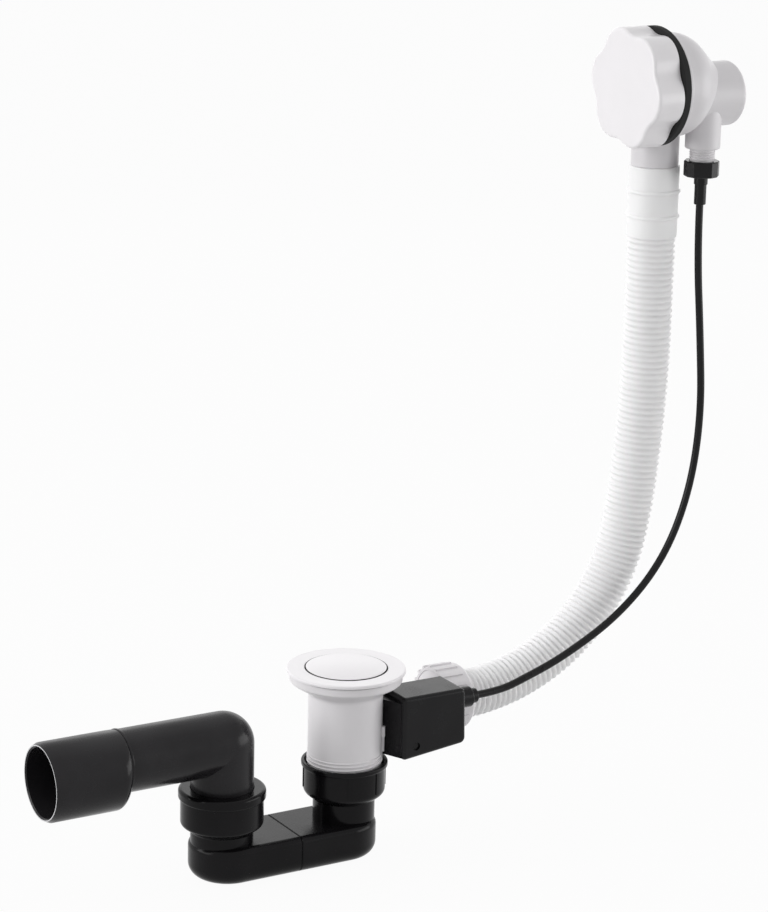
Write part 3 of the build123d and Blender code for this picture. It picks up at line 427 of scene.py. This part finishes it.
def handlingGroup(look):
    group, entry, result = newGroup("handlingMarks", ["Mark Scale", "Spread"], ["Marks"])
    place = group.nodes.new("ShaderNodeTexCoord")
    stretch = group.nodes.new("ShaderNodeMapping")
    stretch.inputs["Rotation"].default_value = look["turn"]
    stretch.inputs["Scale"].default_value = look["stretch"]
    streaks = group.nodes.new("ShaderNodeTexNoise")
    streaks.inputs["Detail"].default_value = look["streakDetail"]
    patches = group.nodes.new("ShaderNodeTexNoise")
    patches.inputs["Scale"].default_value = look["patchScale"]
    thin = group.nodes.new("ShaderNodeMapRange")
    thin.inputs["From Min"].default_value = look["streakFrom"]
    thin.inputs["From Max"].default_value = look["streakTo"]
    area = group.nodes.new("ShaderNodeMapRange")
    area.inputs["From Max"].default_value = look["patchTo"]
    both = group.nodes.new("ShaderNodeMath")
    both.operation = "MULTIPLY"
    group.links.new(place.outputs["Object"], stretch.inputs["Vector"])
    group.links.new(stretch.outputs["Vector"], streaks.inputs["Vector"])
    group.links.new(entry.outputs["Mark Scale"], streaks.inputs["Scale"])
    group.links.new(place.outputs["Object"], patches.inputs["Vector"])
    group.links.new(streaks.outputs["Fac"], thin.inputs["Value"])
    group.links.new(patches.outputs["Fac"], area.inputs["Value"])
    group.links.new(entry.outputs["Spread"], area.inputs["From Min"])
    group.links.new(thin.outputs["Result"], both.inputs[0])
    group.links.new(area.outputs["Result"], both.inputs[1])
    group.links.new(both.outputs["Value"], result.inputs["Marks"])
    return group


mouldSkin = mouldSkinGroup(skinLook)
handlingMarks = handlingGroup(markLook)
print("shader groups made")

# What a finish has unless it says otherwise
plainSkin = {
    "specular": 0.5, "coat": 0.0, "coatRoughness": 0.2, "metallic": 0.0,
    "mottleFrom": 0.3, "mottleTo": 0.7, "grainHeight": 0.0002,
}
colourMix = {"factor": 0, "dark": 6, "light": 7, "result": 2}  # socket numbers of a Mix node for colours


def placeGroup(tree, group, values):
    node = tree.nodes.new("ShaderNodeGroup")
    node.node_tree = group
    for label, value in values.items():
        node.inputs[label].default_value = value
    return node


def mouldedFinish(name, look):
    look = {**plainSkin, **look}
    material = bpy.data.materials.new(name)
    material.use_nodes = True
    tree = material.node_tree
    shader = tree.nodes["Principled BSDF"]
    shader.inputs["Specular IOR Level"].default_value = look["specular"]
    shader.inputs["Coat Weight"].default_value = look["coat"]
    shader.inputs["Coat Roughness"].default_value = look["coatRoughness"]
    shader.inputs["Metallic"].default_value = look["metallic"]
    if "milk" in look:
        shader.inputs["Subsurface Weight"].default_value = look["milk"]
        shader.inputs["Subsurface Radius"].default_value = (1.0, 1.0, 1.0)
        shader.inputs["Subsurface Scale"].default_value = look["milkDepth"]
    skin = placeGroup(tree, mouldSkin, {
        "Grain Scale": look["grainScale"], "Mottle Scale": look["mottleScale"]})
    marks = placeGroup(tree, handlingMarks, {
        "Mark Scale": look["markScale"], "Spread": look["markSpread"]})
    tone = tree.nodes.new("ShaderNodeMix")
    tone.data_type = "RGBA"
    tone.inputs[colourMix["dark"]].default_value = (*look["dark"], 1)
    tone.inputs[colourMix["light"]].default_value = (*look["light"], 1)
    tree.links.new(skin.outputs["Mottle"], tone.inputs[colourMix["factor"]])
    tree.links.new(tone.outputs[colourMix["result"]], shader.inputs["Base Color"])
    spread = tree.nodes.new("ShaderNodeMapRange")
    spread.inputs["From Min"].default_value = look["mottleFrom"]
    spread.inputs["From Max"].default_value = look["mottleTo"]
    spread.inputs["To Min"].default_value = look["roughness"] - look["roughnessSpread"]
    spread.inputs["To Max"].default_value = look["roughness"] + look["roughnessSpread"]
    rubbed = tree.nodes.new("ShaderNodeMath")
    rubbed.operation = "MULTIPLY_ADD"
    rubbed.inputs[1].default_value = look["markRoughness"]
    tree.links.new(skin.outputs["Mottle"], spread.inputs["Value"])
    tree.links.new(marks.outputs["Marks"], rubbed.inputs[0])
    tree.links.new(spread.outputs["Result"], rubbed.inputs[2])
    tree.links.new(rubbed.outputs["Value"], shader.inputs["Roughness"])
    relief = tree.nodes.new("ShaderNodeBump")
    relief.inputs["Strength"].default_value = look["grainDepth"]
    relief.inputs["Distance"].default_value = look["grainHeight"]
    tree.links.new(skin.outputs["Grain"], relief.inputs["Height"])
    tree.links.new(relief.outputs["Normal"], shader.inputs["Normal"])
    return material


finishes = {
    "whiteGloss": {
        "dark": (0.80, 0.782, 0.80), "light": (0.85, 0.832, 0.85), "coat": 0.1,
        "roughness": 0.3, "roughnessSpread": 0.03, "grainScale": 1400.0, "grainDepth": 0.04,
        "mottleScale": 35.0, "markScale": 50.0, "markSpread": 0.55, "markRoughness": 0.04},
    "whiteSatin": {
        "dark": (0.72, 0.703, 0.72), "light": (0.78, 0.762, 0.78),
        "roughness": 0.38, "roughnessSpread": 0.05, "grainScale": 1200.0, "grainDepth": 0.08,
        "mottleScale": 28.0, "markScale": 50.0, "markSpread": 0.55, "markRoughness": 0.1},
    "whiteHousing": {
        "dark": (0.66, 0.644, 0.66), "light": (0.71, 0.693, 0.71),
        "roughness": 0.36, "roughnessSpread": 0.05, "grainScale": 1200.0, "grainDepth": 0.08,
        "mottleScale": 24.0, "markScale": 50.0, "markSpread": 0.55, "markRoughness": 0.1},
    "milkyHose": {
        "dark": (0.925, 0.905, 0.925), "light": (0.96, 0.94, 0.96), "milk": 0.9, "milkDepth": 0.004,
        "roughness": 0.42, "roughnessSpread": 0.06, "grainScale": 700.0, "grainDepth": 0.06,
        "mottleScale": 45.0, "markScale": 40.0, "markSpread": 0.6, "markRoughness": 0.08},
    "blackTrap": {
        "dark": (0.0015, 0.0013, 0.0016), "light": (0.0095, 0.0088, 0.01), "specular": 0.12,
        "roughness": 0.2, "roughnessSpread": 0.06, "grainScale": 800.0, "grainDepth": 0.12,
        "mottleScale": 40.0, "markScale": 70.0, "markSpread": 0.45, "markRoughness": 0.2},
    # The elbow and reducer are the same black plastic as the trap; this lighter copy paints a sheen onto
    # them
    "blackPipePaintedSheen": {
        "dark": (0.006, 0.0055, 0.0063), "light": (0.025, 0.0236, 0.0258), "specular": 0.18,
        "roughness": 0.24, "roughnessSpread": 0.09, "grainScale": 800.0, "grainDepth": 0.12,
        "mottleScale": 26.0, "markScale": 70.0, "markSpread": 0.42, "markRoughness": 0.2},
    # Pale grey for the black reducer's end face: a painted highlight, not the plastic's own colour
    "paintedEndHighlight": {
        "dark": (0.42, 0.42, 0.43), "light": (0.6, 0.6, 0.61),
        "roughness": 0.45, "roughnessSpread": 0.08, "grainScale": 2600.0, "grainDepth": 0.4,
        "mottleScale": 220.0, "markScale": 120.0, "markSpread": 0.4, "markRoughness": 0.2},
    "blackBox": {
        "dark": (0.0045, 0.0042, 0.0048), "light": (0.0085, 0.008, 0.009), "specular": 0.18,
        "roughness": 0.24, "roughnessSpread": 0.05, "grainScale": 1700.0, "grainDepth": 0.25,
        "mottleScale": 60.0, "markScale": 80.0, "markSpread": 0.5, "markRoughness": 0.15},
    "cableJacket": {
        "dark": (0.005, 0.0049, 0.0053), "light": (0.008, 0.0078, 0.0085), "specular": 0.18,
        "roughness": 0.28, "roughnessSpread": 0.05, "grainScale": 1500.0, "grainDepth": 0.1,
        "mottleScale": 60.0, "markScale": 90.0, "markSpread": 0.5, "markRoughness": 0.15},
    "sealRubber": {
        "dark": (0.012, 0.012, 0.012), "light": (0.022, 0.022, 0.022), "specular": 0.18,
        "roughness": 0.72, "roughnessSpread": 0.08, "grainScale": 1800.0, "grainDepth": 0.3,
        "mottleScale": 50.0, "markScale": 60.0, "markSpread": 0.5, "markRoughness": 0.1},
    "acetal": {
        "dark": (0.72, 0.72, 0.69), "light": (0.79, 0.79, 0.76),
        "roughness": 0.35, "roughnessSpread": 0.05, "grainScale": 1200.0, "grainDepth": 0.05,
        "mottleScale": 40.0, "markScale": 60.0, "markSpread": 0.5, "markRoughness": 0.15},
    "plainSteel": {
        "dark": (0.50, 0.50, 0.51), "light": (0.62, 0.62, 0.63), "metallic": 1.0,
        "roughness": 0.3, "roughnessSpread": 0.08, "grainScale": 2500.0, "grainDepth": 0.1,
        "mottleScale": 90.0, "markScale": 120.0, "markSpread": 0.4, "markRoughness": 0.2},
}
wornBy = {
    "whiteGloss": ["overflow_knob", "drain_flange", "plug_cap"],
    "whiteSatin": ["drain_body", "hose_nut", "clamp_ring"],
    "whiteHousing": ["overflow_body", "drive_cap"],
    "milkyHose": ["overflow_hose"],
    "blackTrap": ["trap_nut", "trap_inlet_half", "trap_outlet_half", "socket_cap"],
    "blackPipePaintedSheen": ["outlet_elbow", "outlet_reducer"],
    "blackBox": ["lever_housing", "housing_lid", "cable_gland", "cable_nut", "cable_sleeve", "lever_pin"],
    "cableJacket": ["cable_sheath"],
    "sealRubber": ["flange_gasket", "plug_seal", "hose_washer", "spigot_ring", "spindle_seal",
                   "overflow_gasket", "trap_washer", "socket_seal"],
    "acetal": ["plug_stem", "stem_nut", "lift_lever", "knob_spindle", "cable_drum"],
    "plainSteel": ["wire_end_lower", "wire_end_upper", "clamp_screws"],
}
finish = {name: mouldedFinish(name, look) for name, look in finishes.items()}


def dress(piece, *names):
    for name in names:
        piece.data.materials.append(finish[name])


for name, worn in wornBy.items():
    for node in worn:
        nodes[node].data.materials.clear()
        dress(nodes[node], name)
dress(pullCable, "cableJacket")
dress(overflowHose, "milkyHose")
dress(plugShadowLine, "sealRubber")
dress(rimShadowLine, "sealRubber")
dress(outletReducer, "blackPipePaintedSheen", "paintedEndHighlight")
dress(wasteTurns, "whiteSatin")
dress(stubTurns, "whiteHousing")
print("finishes given to", sum(len(worn) for worn in wornBy.values()), "nodes")

# Floor and light: a white sweep lit from the left, with softer panels above, at the right and behind
studio = {
    "floorSize": 9.0,
    "floorSides": 96,
    "floorDrop": 0.0006,
    "floorColour": (0.56, 0.56, 0.56),
    "floorRoughness": 0.9,
    "floorWhite": 0.95,
    "roomDim": 0.47,
    "roomBright": 0.9,
    "dimUpTo": -0.5,
    "brightFrom": 0.6,
    "lamps": {
        "leftPanel": {"place": (-1.6, 0.3, 0.6), "size": (1.3, 1.1), "watts": 17},
        "topPanel": {"place": (0.15, 0.35, 1.8), "size": (1.6, 1.2), "watts": 1},
        "rightFill": {"place": (1.6, -1.0, 0.35), "size": (1.6, 0.9), "watts": 12.5},
        "backPanel": {"place": (1.0, 1.8, 0.6), "size": (1.9, 0.7), "watts": 2.5},
    },
    "aim": (0.03, 0.0, 0.1),
}


def clearRays(tree):
    path = tree.nodes.new("ShaderNodeLightPath")
    glossy = tree.nodes.new("ShaderNodeMath")
    clear = tree.nodes.new("ShaderNodeMath")
    glossy.operation = clear.operation = "MAXIMUM"
    tree.links.new(path.outputs["Is Camera Ray"], glossy.inputs[0])
    tree.links.new(path.outputs["Is Glossy Ray"], glossy.inputs[1])
    tree.links.new(glossy.outputs["Value"], clear.inputs[0])
    tree.links.new(path.outputs["Is Transmission Ray"], clear.inputs[1])
    return clear.outputs["Value"]


def makeFloor(settings):
    bm = bmesh.new()
    bmesh.ops.create_circle(bm, cap_ends=True, radius=settings["floorSize"], segments=settings["floorSides"])
    floor = linkMesh("floor", bm)
    floor.location.z = cadLow.z - settings["floorDrop"]
    material = bpy.data.materials.new("paleFloor")
    material.use_nodes = True
    tree = material.node_tree
    shader = tree.nodes["Principled BSDF"]
    shader.inputs["Base Color"].default_value = (*settings["floorColour"], 1)
    shader.inputs["Roughness"].default_value = settings["floorRoughness"]
    white = tree.nodes.new("ShaderNodeEmission")
    share = tree.nodes.new("ShaderNodeMath")
    share.operation = "MULTIPLY"
    share.inputs[1].default_value = settings["floorWhite"]
    mix = tree.nodes.new("ShaderNodeMixShader")
    tree.links.new(clearRays(tree), share.inputs[0])
    tree.links.new(share.outputs["Value"], mix.inputs[0])
    tree.links.new(shader.outputs["BSDF"], mix.inputs[1])
    tree.links.new(white.outputs["Emission"], mix.inputs[2])
    tree.links.new(mix.outputs["Shader"], tree.nodes["Material Output"].inputs["Surface"])
    floor.data.materials.append(material)


def makeLight(settings):
    world = bpy.data.worlds.new("studio")
    world.use_nodes = True
    scene.world = world
    tree = world.node_tree
    room = tree.nodes["Background"]
    room.inputs["Color"].default_value = (1, 1, 1, 1)
    seen = tree.nodes.new("ShaderNodeBackground")
    seen.inputs["Color"].default_value = (1, 1, 1, 1)
    direction = tree.nodes.new("ShaderNodeTexCoord")
    parts = tree.nodes.new("ShaderNodeSeparateXYZ")
    fade = tree.nodes.new("ShaderNodeMapRange")  # dim towards -Y, bright behind the object
    fade.inputs["From Min"].default_value = settings["dimUpTo"]
    fade.inputs["From Max"].default_value = settings["brightFrom"]
    fade.inputs["To Min"].default_value = settings["roomDim"]
    fade.inputs["To Max"].default_value = settings["roomBright"]
    mix = tree.nodes.new("ShaderNodeMixShader")
    tree.links.new(direction.outputs["Generated"], parts.inputs["Vector"])
    tree.links.new(parts.outputs["Y"], fade.inputs["Value"])
    tree.links.new(fade.outputs["Result"], room.inputs["Strength"])
    tree.links.new(clearRays(tree), mix.inputs[0])
    tree.links.new(room.outputs["Background"], mix.inputs[1])
    tree.links.new(seen.outputs["Background"], mix.inputs[2])
    tree.links.new(mix.outputs["Shader"], tree.nodes["World Output"].inputs["Surface"])
    for name, lamp in settings["lamps"].items():
        panel = bpy.data.lights.new(name, "AREA")
        panel.shape = "RECTANGLE"
        panel.size, panel.size_y = lamp["size"]
        panel.energy = lamp["watts"]
        holder = bpy.data.objects.new(name, panel)
        holder.location = lamp["place"]
        holder.rotation_mode = "QUATERNION"
        holder.rotation_quaternion = (Vector(settings["aim"]) - holder.location).to_track_quat("-Z", "Y")
        scene.collection.objects.link(holder)


makeFloor(studio)
makeLight(studio)
print("studio lit")

bpy.context.view_layer.update()
